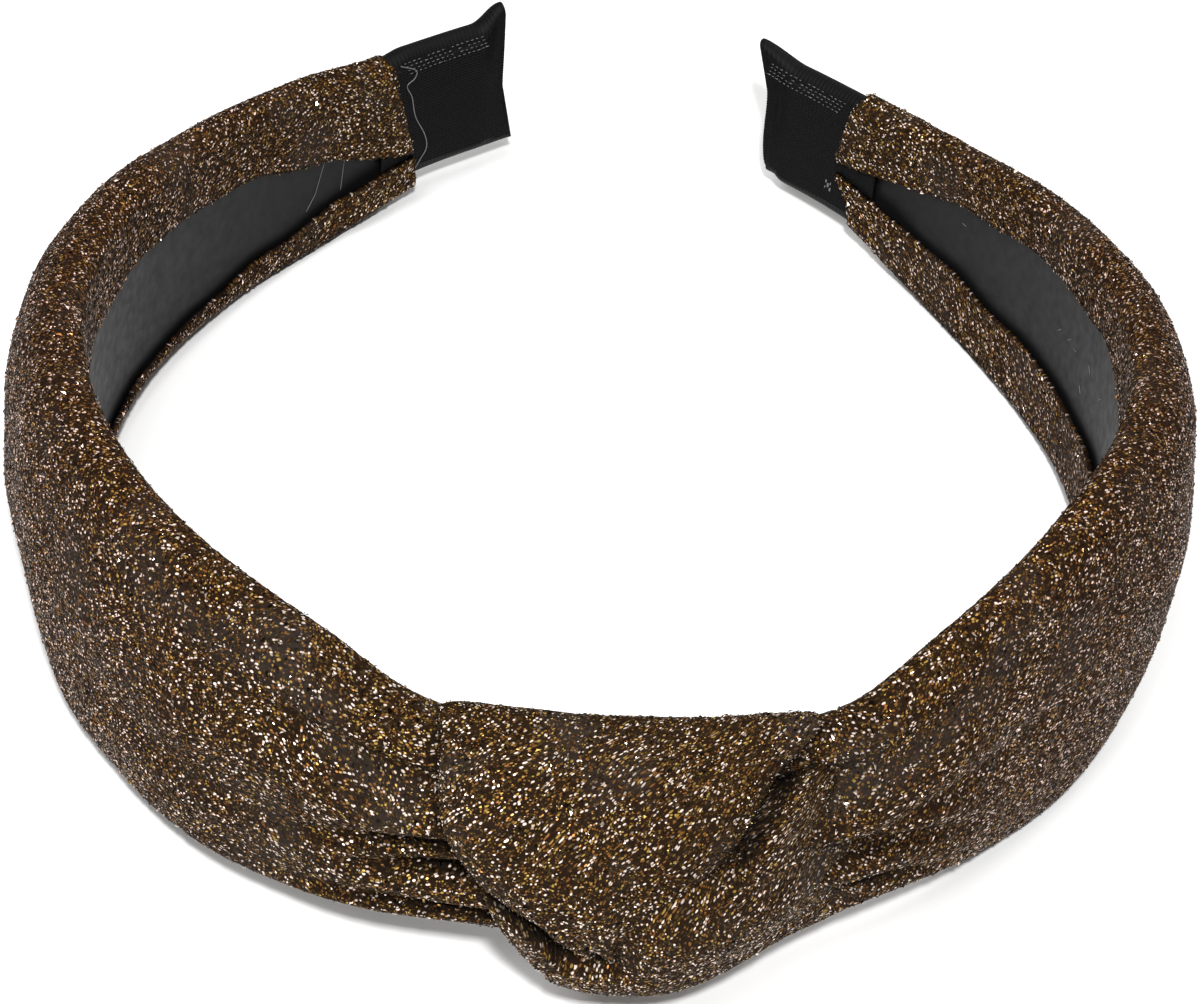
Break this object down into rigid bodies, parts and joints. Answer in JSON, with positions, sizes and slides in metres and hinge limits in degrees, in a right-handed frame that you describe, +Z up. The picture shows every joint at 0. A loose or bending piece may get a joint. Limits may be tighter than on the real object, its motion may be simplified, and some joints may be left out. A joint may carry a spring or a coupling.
{
  "type": "knot headband",
  "caption": "Wide flexible headband in sparkling knit with a front knot, turned-in hems over a grey plastic hoop, and black ribbon caps on the tips.",
  "frame": {"origin": "on the table, under the middle of the headband's bounding box as it lies on its side", "axes": "+Z up, -Y towards the knot, +Y towards the two tips, +X to the right as seen from the knot"},
  "size_m": [0.1518, 0.159, 0.0489],
  "materials": {
    "glitter_knit": "brown knit shot through with metallic thread, sparkling",
    "black_ribbon": "fine ribbed ribbon, dull",
    "hoop_plastic": "dark grey moulded plastic, smooth and slightly glossy"
  },
  "bodies": {
    "root": {"hoop": "hoop_plastic", "cover_left": "glitter_knit", "cover_right": "glitter_knit", "ribbon_cap_left": "black_ribbon", "ribbon_cap_right": "black_ribbon", "knot_wrap": "glitter_knit", "knot_fold": "glitter_knit"}
  },
  "joints": []
}
